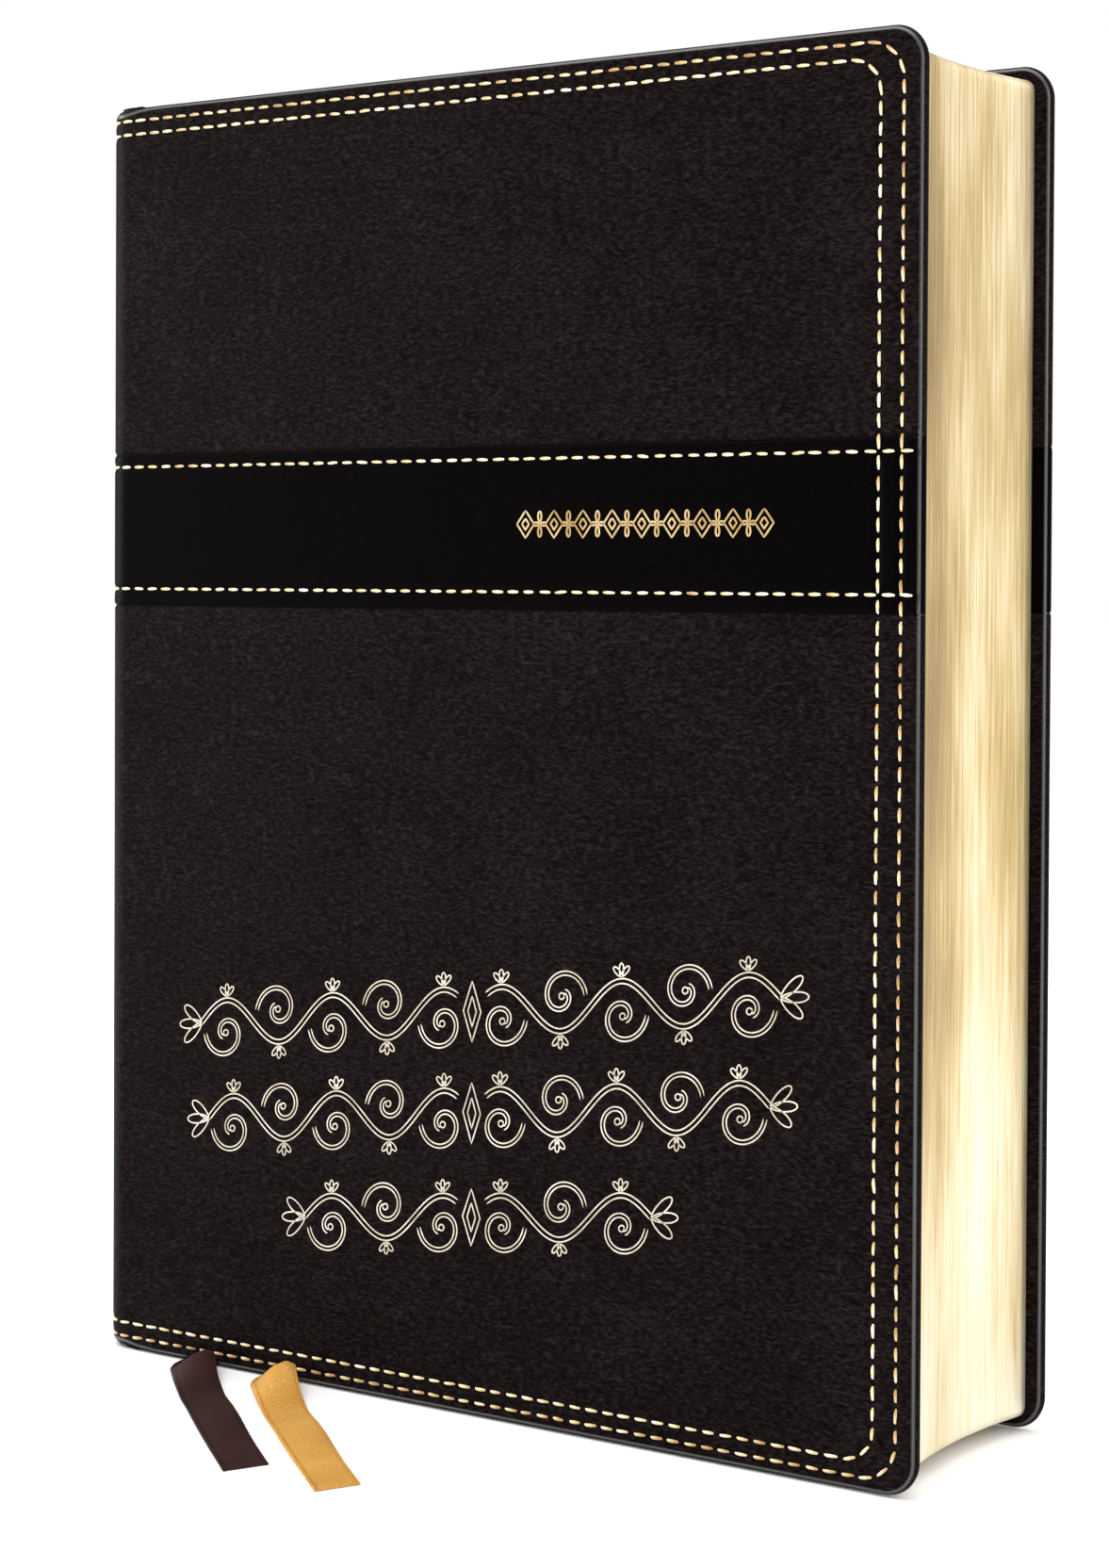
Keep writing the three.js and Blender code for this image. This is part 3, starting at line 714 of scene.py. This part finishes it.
def stitch_row(name, row, side, tone):
    """One row of hand-laid stitches, each a little off in place, direction, size and tint, with a painted
    highlight that pales each stitch towards one end.
    """
    length = row_length(row)
    count = round(length / STITCH_PITCH)
    pitch = length / count
    points, faces, tints_and_highlights = [], [], []
    for number in range(count):
        middle = (number + 0.5) * pitch + rng.normal(0, STITCH_WANDER)
        centre = along(row, middle)
        ahead = along(row, middle + 0.3 * MM) - along(row, middle - 0.3 * MM)
        ahead = ahead / np.hypot(*ahead)
        sway = rng.normal(0, STITCH_LEAN)
        ahead = np.array([ahead[0] - sway * ahead[1], ahead[1] + sway * ahead[0]])
        across = np.array([-ahead[1], ahead[0]])
        size = rng.uniform(0.92, 1.06)
        local = STITCH_POINTS * (rng.uniform(0.9, 1.08), size, size)
        flat = centre + local[:, :1] * ahead + local[:, 1:2] * across
        x, y = wrap(flat[:, 0], STITCH_RISE - local[:, 2], side)
        start = len(points) * len(STITCH_POINTS)
        points.append(np.stack([x, y, flat[:, 1]], -1))
        faces += [tuple(start + index for index in quad[::-side]) for quad in STITCH_FACES]
        # Painted highlight: the tint grows paler along each stitch towards one end, over the row's tone and its
        # random spread.
        tint_and_highlight = np.clip(rng.normal(tone, STITCH_MOTTLE) + 0.55 * (local[:, 0] / STITCH_LENGTH), 0, 1)
        tints_and_highlights.append(np.stack([tint_and_highlight, local[:, 0] + 0.7 * local[:, 1], np.zeros(len(local))], -1))
    piece = make_mesh(name, np.concatenate(points), faces, materials=[THREAD_SILK])
    store(piece, "tint_and_highlight", np.concatenate(tints_and_highlights))
    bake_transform(piece)
    return piece


def make_stitching():
    for cover, side in (("front", -1), ("back", 1)):
        for row_name, row in ROWS.items():
            piece = stitch_row(f"{cover}_{row_name}_stitches", row, side, THREAD_TONE[row_name])
            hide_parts(f"{cover}_stitching")
            if row_name == "outer_border":
                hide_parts("spine_head_outer_stitching", "spine_tail_outer_stitching")
            elif row_name == "inner_border":
                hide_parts("spine_head_inner_stitching", "spine_tail_inner_stitching")
            else:
                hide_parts(f"spine_{row_name}_stitching")


make_stitching()

# ---- leaves ------------------------------------------------------

LEAF_RIM = 6 * MM  # width of the finely cut margin of a leaf


def leaf_block(name, y_lines, x_range, z_range, materials, fore_x=None, jitter=0.0):
    """A stack of leaves from the first of y_lines to the last, with rounded corners and a finely cut edge."""
    x_start, x_end = x_range
    z_start, z_end = z_range
    x_lines = lines((x_start, 0.8 * MM), (x_start + 8 * MM, 9 * MM), (x_end - LEAF_RIM, 0.7 * MM), x_end)
    z_lines = lines((z_start, 0.7 * MM), (z_start + LEAF_RIM, 5 * MM), (z_end - LEAF_RIM, 0.7 * MM), z_end)
    x, z = np.meshgrid(x_lines, z_lines, indexing="ij")
    bent_x, bent_z, _ = round_corner(x, z, x_end, z_start, z_end, PAGE_CORNER)
    rows, columns = x.shape
    outline = [(i, 0) for i in range(rows)]
    outline += [(rows - 1, j) for j in range(1, columns)]
    outline += [(i, columns - 1) for i in range(rows - 2, -1, -1)]
    outline += [(0, j) for j in range(columns - 2, 0, -1)]
    middle_x, middle_z = (x_start + x_end) / 2, sum(z_range) / 2

    def shift(place, y, pull):
        """Draws the fore-edge half of a leaf in to the hollow fore-edge, and by its own pull."""
        share = np.clip((place - middle_x) / (x_end - middle_x), 0, 1) ** 2
        end = x_end if fore_x is None else fore_x(y)
        return place + share * (end - x_end) - pull * share

    points = []
    for y in (y_lines[0], y_lines[-1]):
        face_x = shift(bent_x, y, jitter / 2)
        points.append(np.stack([face_x, np.full(x.shape, y), bent_z], -1).reshape(-1, 3))
    for y in y_lines[1:-1]:
        pull = jitter * rng.random()
        layer_x = shift(bent_x, y, pull)
        layer_z = bent_z + np.where(bent_z < middle_z, 0.6 * pull, -0.6 * pull)
        points.append(np.array([(layer_x[i, j], y, layer_z[i, j]) for i, j in outline]))

    grid, around = rows * columns, len(outline)
    faces, kinds = [], []
    for i in range(rows - 1):
        for j in range(columns - 1):
            a, b = i * columns + j, (i + 1) * columns + j
            faces.append((a, b, b + 1, a + 1))
            faces.append((grid + a + 1, grid + b + 1, grid + b, grid + a))
            kinds += [0, 0]
    rings = [[i * columns + j for i, j in outline]]
    rings += [[2 * grid + k * around + n for n in range(around)] for k in range(len(y_lines) - 2)]
    rings.append([grid + index for index in rings[0]])
    for before, after in zip(rings, rings[1:]):
        for n in range(around):
            m = (n + 1) % around
            faces.append((before[m], before[n], after[n], after[m]))
            kinds.append(1)
    surface = np.concatenate(points)
    piece = make_mesh(name, surface, faces, kinds, materials, smooth=False)
    store(piece, "surface", surface - (SPINE_X + WALL, 0, 0))
    return piece


def node_depths(node):
    low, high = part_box(node)
    return low.y, high.y


section_low, section_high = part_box("section_01_leaves")
hollow_low, hollow_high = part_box("section_06")
BLOCK_HALF = -section_low.y
BLOCK_FORE_X = section_high.x
BLOCK_Z = (section_low.z, section_high.z)
BLOCK_X = hollow_low.x
FORE_HOLLOW = BLOCK_FORE_X - hollow_high.x
SECTIONS = 11
TURNING = {
    1: "front_section_outer", 2: "front_section_inner",
    10: "back_section_inner", 11: "back_section_outer",
}
OUTER_LEAVES = 0.35 * MM  # how far the first and last section reach past the CAD block
LEAF_SEAM = 0.012 * MM
LEAVES_SHOWN = 13
LEAF_JITTER = 0.03 * MM
# Depths of a pasted endpaper's faces, in from the cover's inner face, and how much smaller it is than a leaf at
# the fore-edge and at the head and tail.
PASTED_DEPTHS = (0.02 * MM, 0.24 * MM)
PASTED_INSET = (1.2 * MM, 0.4 * MM)
# A free endpaper's outer face is this far in from the cover's inner face, and its inner face this far from the
# CAD block.
FREE_DEPTH, FREE_GAP = 0.27 * MM, 0.37 * MM


def fore_edge(y):
    """Where the hollow fore-edge stands at a depth in the block."""
    return BLOCK_FORE_X - FORE_HOLLOW * (1 - min(1.0, abs(y) / BLOCK_HALF) ** 2)


def section_nodes(number):
    name = f"section_{number:02d}"
    return (f"{name}_leaves", f"{name}_gutter") if number in TURNING else (name,)


def make_sections():
    spans = [node_depths(section_nodes(number)[0]) for number in range(1, SECTIONS + 1)]
    between = [(end + start) / 2 for (_, end), (start, _) in zip(spans, spans[1:])]
    edges = [-BLOCK_HALF - OUTER_LEAVES, *between, BLOCK_HALF + OUTER_LEAVES]
    for number in range(1, SECTIONS + 1):
        y_lines = np.linspace(edges[number - 1] + LEAF_SEAM, edges[number] - LEAF_SEAM, LEAVES_SHOWN)
        name, x_range = f"leaves_{number:02d}", (BLOCK_X, BLOCK_FORE_X)
        piece = leaf_block(name, y_lines, x_range, BLOCK_Z, [PAPER, GILT], fore_edge, LEAF_JITTER)
        if number in TURNING:
            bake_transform(piece)
        else:
            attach(piece, "book_block")
        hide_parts(*section_nodes(number))


def make_endpapers():
    for cover, side in (("front", -1), ("back", 1)):
        x_range = (BLOCK_X + 1.2 * MM, BLOCK_FORE_X)
        y = sorted(side * (HALF - WALL - depth) for depth in PASTED_DEPTHS)
        pasted_x = (x_range[0], BLOCK_FORE_X - PASTED_INSET[0])
        pasted_z = (BLOCK_Z[0] + PASTED_INSET[1], BLOCK_Z[1] - PASTED_INSET[1])
        piece = leaf_block(f"{cover}_pasted_endpaper", y, pasted_x, pasted_z, [ENDPAPER, ENDPAPER])
        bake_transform(piece)
        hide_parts(f"{cover}_pastedown", f"{cover}_endpaper_gutter")
        y = sorted((side * (HALF - WALL - FREE_DEPTH), side * (BLOCK_HALF + FREE_GAP)))
        piece = leaf_block(f"{cover}_free_endpaper", y, x_range, BLOCK_Z, [ENDPAPER, GILT])
        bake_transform(piece)
        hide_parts(f"{cover}_flyleaf")


make_sections()
make_endpapers()

# ---- stamped ornament --------------------------------------------

FOIL_PROUD = 0.05 * MM
FOIL_ROOT = -0.02 * MM  # how far a line's edges go down into the leather
FRIEZE = (8.0 * MM, 61.9 * MM, 155.6 * MM, 160.4 * MM)  # left, right, low and high
FRIEZE_MOTIFS = 9
FRIEZE_LINE = 0.40 * MM
SCROLL_RISE = 0.12  # slope of the tiers, which climb towards the fore-edge
SCROLL_LINE = 0.30 * MM
STEM_GAP, CURL_GAP = 0.42 * MM, 0.34 * MM  # half the distance between a double line's two
# Height of the middle, half width, half height and number of scrolls a side of each tier of scrollwork.
SCROLL_TIERS = (
    (72.0 * MM, 67 * MM, 6.6 * MM, 5),
    (54.0 * MM, 65 * MM, 6.6 * MM, 5),
    (35.5 * MM, 42 * MM, 6.2 * MM, 3),
)


def to_left(stroke):
    """The unit vector to the left at each point of a stroke."""
    ahead = np.gradient(stroke, axis=0)
    ahead /= np.maximum(np.hypot(*ahead.T), 1e-12)[:, None]
    return np.stack([-ahead[:, 1], ahead[:, 0]], -1)


def foil_lines(name, strokes, width, base_y, material):
    """Low rounded lines of foil on the front cover, from closed or open (x, z) strokes."""
    points, faces = [], []
    for stroke in strokes:
        start = len(points)
        taper = np.ones(len(stroke))
        taper[0] = taper[-1] = 0.35
        for (x, z), (left_x, left_z), size in zip(stroke, to_left(stroke), taper):
            for share, rise in ((-0.5, FOIL_ROOT), (-0.28, FOIL_PROUD), (0.28, FOIL_PROUD), (0.5, FOIL_ROOT)):
                reach = share * width * size
                points.append((x + left_x * reach, base_y - rise, z + left_z * reach))
        end = len(points) - 4
        for a in range(start, end, 4):
            for k in range(a, a + 3):
                faces.append((k, k + 1, k + 5, k + 4))
            faces.append((a + 3, a, a + 4, a + 7))
        faces.append((start + 3, start + 2, start + 1, start))
        faces.append((end, end + 1, end + 2, end + 3))
    piece = make_mesh(name, points, faces, materials=[material], smooth=False)
    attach(piece, "front_cover")
    return piece


def lozenge(x, z, half_width, half_height):
    corners = np.array([(0, 1), (1, 0), (0, -1), (-1, 0), (0, 1)]) * (half_width, half_height) + (x, z)
    sides = [np.linspace(a, b, 6)[:-1] for a, b in zip(corners, corners[1:])]
    return np.concatenate([*sides, corners[-1:]])


def ring(x, z, radius):
    turn = np.linspace(0, 2 * math.pi, 19)
    return np.stack([x + radius * np.cos(turn), z + radius * np.sin(turn)], -1)


def petal(x, z, length, width, angle):
    """A closed pointed leaf that grows from (x, z)."""
    turn = np.linspace(0, 2 * math.pi, 25)
    reach = length * (1 - np.cos(turn)) / 2
    swell = width / 2 * np.sin(turn) * (0.55 + 0.45 * np.sin(turn / 2))
    c, d = math.cos(angle), math.sin(angle)
    return np.stack([x + reach * c - swell * d, z + reach * d + swell * c], -1)


def make_frieze():
    """A row of double lozenges with four petals between each two."""
    left, right, low, high = FRIEZE
    middle, half = (low + high) / 2, (high - low) / 2
    pitch = (right - left) / FRIEZE_MOTIFS
    strokes = []
    for number in range(FRIEZE_MOTIFS):
        x = left + (number + 0.5) * pitch
        strokes.append(lozenge(x, middle, 0.30 * pitch, half))
        strokes.append(lozenge(x, middle, 0.12 * pitch, 0.42 * half))
        if number == 0:
            continue
        edge = x - pitch / 2
        for sign in (-1, 1):
            root, angle = middle + sign * 0.15 * half, sign * math.pi / 2
            strokes.append(petal(edge, root, 0.75 * half, 0.34 * half, angle))
            root, angle = edge + sign * 0.02 * pitch, math.pi * (sign < 0)
            strokes.append(petal(root, middle, 0.20 * pitch, 0.26 * half, angle))
    foil_lines("band_frieze_foil", strokes, FRIEZE_LINE, -HALF - BAND_PROUD, FOIL)


def double(stroke, gap):
    """The two lines on either side of a stroke."""
    return [stroke + reach * to_left(stroke) for reach in (gap, -gap)]


def scroll(x, z, radius, turns, hand):
    """A spiral that winds in to (x, z), with the hand's sign."""
    share = np.linspace(0, 1, 46)
    angle = hand * 2 * math.pi * turns * share
    reach = radius * (1 - 0.80 * share ** 0.85)
    return np.stack([x + reach * np.cos(angle), z + reach * np.sin(angle)], -1)


def scroll_run(half_width, half_height, count):
    """One tier's strokes from the middle of the cover to the right, about a level line."""
    pitch = half_width / (count + 0.35)
    reach = np.linspace(0.25 * pitch, count * pitch, 30 * count)
    stem = np.stack([reach, 0.62 * half_height * np.sin(math.pi * reach / pitch)], -1)
    drawn = double(stem, STEM_GAP)
    for wave in range(count):
        up = 1 if wave % 2 == 0 else -1
        centre = ((wave + 0.52) * pitch, -0.30 * up * half_height)
        drawn += double(scroll(*centre, 0.40 * pitch, 1.15, -up), CURL_GAP)
        drawn.append(ring(*centre, 0.55 * MM))
        top = ((wave + 0.5) * pitch, 0.74 * up * half_height)
        for lean in (-0.75, 0, 0.75):
            drawn.append(petal(*top, 0.34 * half_height, 0.15 * half_height, up * (math.pi / 2 + lean)))
    for lean in (-0.7, 0, 0.7):
        drawn.append(petal(count * pitch, 0.0, 0.42 * pitch, 0.16 * pitch, lean))
    return drawn


def make_scrollwork():
    """Running scrolls that mirror about the middle of the cover, every stem drawn as a double line."""
    for number, (height, half_width, half_height, count) in enumerate(SCROLL_TIERS, 1):
        run = scroll_run(half_width, half_height, count)
        strokes = []
        for side in (-1, 1):
            for stroke in run:
                across = side * stroke[:, 0]
                strokes.append(np.stack([across, height + stroke[:, 1] + SCROLL_RISE * across], -1))
        strokes.append(lozenge(0, height, 1.9 * MM, 0.82 * half_height))
        strokes.append(lozenge(0, height, 0.9 * MM, 0.42 * half_height))
        foil_lines(f"scrollwork_tier_{number}", strokes, SCROLL_LINE, -HALF, PALE_FOIL)


make_frieze()
make_scrollwork()

# ---- ribbon markers ----------------------------------------------

RIBBON_WIDTH = 8 * MM
RIBBON_THICKNESS = 0.25 * MM
RIBBON_PITCH = 19.4  # from the brown ribbon to the gold one, in millimetres
RIBBON_REST = 0.16  # height of a ribbon's middle where it lies flat, in millimetres
RIBBON_STEPS = 280
GOLD_ARCH = 1.35  # height of the gold ribbon's arch against the brown one's
FOLD_SKEW = 4 * MM  # how much sooner the right edge goes over the arch than the left
FREED = 4 * MM  # from 1.2 to 2.2 times this along it, a ribbon's heights pass over to the softened ones
CUT_SLANT = 9 * MM  # the last stretch, which is pushed askew towards the cut
# Lines of points along a ribbon, as shares of its half width. They are closer on the selvedges.
SELVEDGE = (0.895, 0.93, 0.965, 1)
SHARES = [*(-share for share in reversed(SELVEDGE)), *np.linspace(-0.86, 0.86, 11), *SELVEDGE]

# The brown ribbon's free end as (x, y, z), from under the front cover's tail edge, in millimetres.
RIBBON_ROUTE = [
    (-63.1, -20.6, RIBBON_REST), (-63.1, -22.6, RIBBON_REST), (-63.0, -24.6, RIBBON_REST),
    (-62.8, -26.1, 0.4), (-62.4, -27.1, 1.3), (-61.9, -28.0, 2.5),
    (-60.9, -29.3, 3.5), (-59.3, -31.0, 3.4), (-57.3, -33.0, 2.5),
    (-54.6, -35.6, 1.4), (-51.2, -38.7, 0.6), (-46.6, -42.9, 0.3),
    (-41.0, -47.6, 0.55), (-34.8, -53.0, 0.75), (-28.7, -58.2, 0.45),
    (-22.6, -63.3, 0.18), (-17.5, -67.5, RIBBON_REST), (-12.7, -71.5, RIBBON_REST),
]

# How high each ribbon's crest stands against its middle line, from its right edge to its left.
CREST_SHARES = (-1, -0.6, 0.1, 0.6, 1)
BROWN_CREST = (1.08, 1.32, 1.08, 0.66, 0.15)
GOLD_CREST = (0.93, 1.16, 0.98, 0.60, 0.15)
CREST_SOFTENING = 5 * MM


def smooth_path(points, steps):
    """A Catmull-Rom curve through the points, cut into even steps, and its length."""
    padded = np.vstack([2 * points[0] - points[1], points, 2 * points[-1] - points[-2]])
    found = []
    for a, b, c, d in zip(padded, padded[1:], padded[2:], padded[3:]):
        square, cube = 2 * a - 5 * b + 4 * c - d, 3 * b - a - 3 * c + d
        for t in np.linspace(0, 1, 40, endpoint=False):
            found.append(0.5 * (2 * b + (c - a) * t + square * t ** 2 + cube * t ** 3))
    found = np.array(found + [points[-1]])
    ends = np.concatenate([[0], np.cumsum(np.linalg.norm(np.diff(found, axis=0), axis=1))])
    places = np.linspace(0, ends[-1], steps + 1)
    return np.stack([np.interp(places, ends, found[:, k]) for k in range(3)], -1), ends[-1]


def unit(vectors):
    return vectors / np.linalg.norm(vectors, axis=1)[:, None]


def softened(heights, step):
    """Heights along a path, smoothed over CREST_SOFTENING each way."""
    window = np.hanning(round(2 * CREST_SOFTENING / step))
    wide = np.convolve(np.pad(heights, len(window), mode="edge"), window / window.sum(), mode="same")
    return wide[len(window):-len(window)]


def ribbon_tail(name, shift_x, arch, crest, material):
    """A ribbon's free end: two faces of lines along the path, closed at the selvedges and at both ends."""
    route = [(x + shift_x, y, RIBBON_REST + (z - RIBBON_REST) * arch) for x, y, z in RIBBON_ROUTE]
    path, length = smooth_path(np.array(route) * MM, RIBBON_STEPS)
    tangent = unit(np.gradient(path, axis=0))
    side = unit(np.cross(tangent, (0, 0, 1)))
    normal = np.cross(side, tangent)
    count, width = len(path), len(SHARES)
    distance = np.arange(count) * length / (count - 1)
    freed = np.clip(distance / FREED - 1.2, 0, 1)
    heights = path[:, 2] + freed * (softened(path[:, 2], distance[1]) - path[:, 2])
    slant = np.clip((distance - (length - CUT_SLANT)) / CUT_SLANT, 0, 1) ** 2
    beads = 0.5 + 0.5 * np.cos(2 * math.pi * distance / RIBBON_BEAD)
    points, surface = [], []
    for face in (1, -1):
        for share in SHARES:
            thick = RIBBON_THICKNESS / 2 * (0.9 if abs(share) >= SELVEDGE[0] else 0.55)
            across = np.full(count, share * RIBBON_WIDTH / 2)
            if abs(share) == 1:
                thick *= 0.4
                across += share * 0.12 * MM * beads
            pushed = slant * share * 0.9 * MM
            place = path + side * across[:, None] + normal * (face * thick) + tangent * pushed[:, None]
            level = np.interp(distance - (share + 1) / 2 * FOLD_SKEW, distance, heights)
            lean = np.interp(share, CREST_SHARES, crest)
            place[:, 2] += RIBBON_REST * MM + (level - RIBBON_REST * MM) * lean - path[:, 2]
            place[:, 2] = np.maximum(place[:, 2], 0.02 * MM if face < 0 else 0.1 * MM)
            points.append(place)
            surface.append(np.stack([distance, across, np.zeros(count)], -1))

    def top(k, n):
        return k * count + n

    def under(k, n):
        return (width + k) * count + n

    faces = []
    for k in range(width - 1):
        for n in range(count - 1):
            faces.append((top(k, n), top(k + 1, n), top(k + 1, n + 1), top(k, n + 1)))
            faces.append((under(k, n + 1), under(k + 1, n + 1), under(k + 1, n), under(k, n)))
    last, end = width - 1, count - 1
    for n in range(count - 1):
        faces.append((top(0, n + 1), under(0, n + 1), under(0, n), top(0, n)))
        faces.append((top(last, n), under(last, n), under(last, n + 1), top(last, n + 1)))
    for k in range(width - 1):
        faces.append((top(k, 0), under(k, 0), under(k + 1, 0), top(k + 1, 0)))
        faces.append((top(k + 1, end), under(k + 1, end), under(k, end), top(k, end)))
    piece = make_mesh(name, np.concatenate(points), faces, materials=[material])
    store(piece, "surface", np.concatenate(surface))
    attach(piece, "book_block")
    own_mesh(piece)
    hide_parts(name.replace("satin_", ""))


ribbon_tail("brown_ribbon_satin_tail", 0, 1, BROWN_CREST, BROWN_SATIN)
ribbon_tail("gold_ribbon_satin_tail", RIBBON_PITCH, GOLD_ARCH, GOLD_CREST, GOLD_SATIN)

# ---- CAD pieces that stay ----------------------------------------


def dress(node, material):
    for slot in frame["nodes"][node].material_slots:
        slot.material = material


for node in ("front_board", "back_board", "spine_stiffener"):
    dress(node, CARD)
for node in ("spine_mull", "sewing_thread_1", "sewing_thread_2", "sewing_thread_3", "sewing_thread_4"):
    dress(node, CLOTH)
for node in ("headband", "tailband"):
    dress(node, SILK)
dress("brown_ribbon", BROWN_SATIN)
dress("gold_ribbon", GOLD_SATIN)
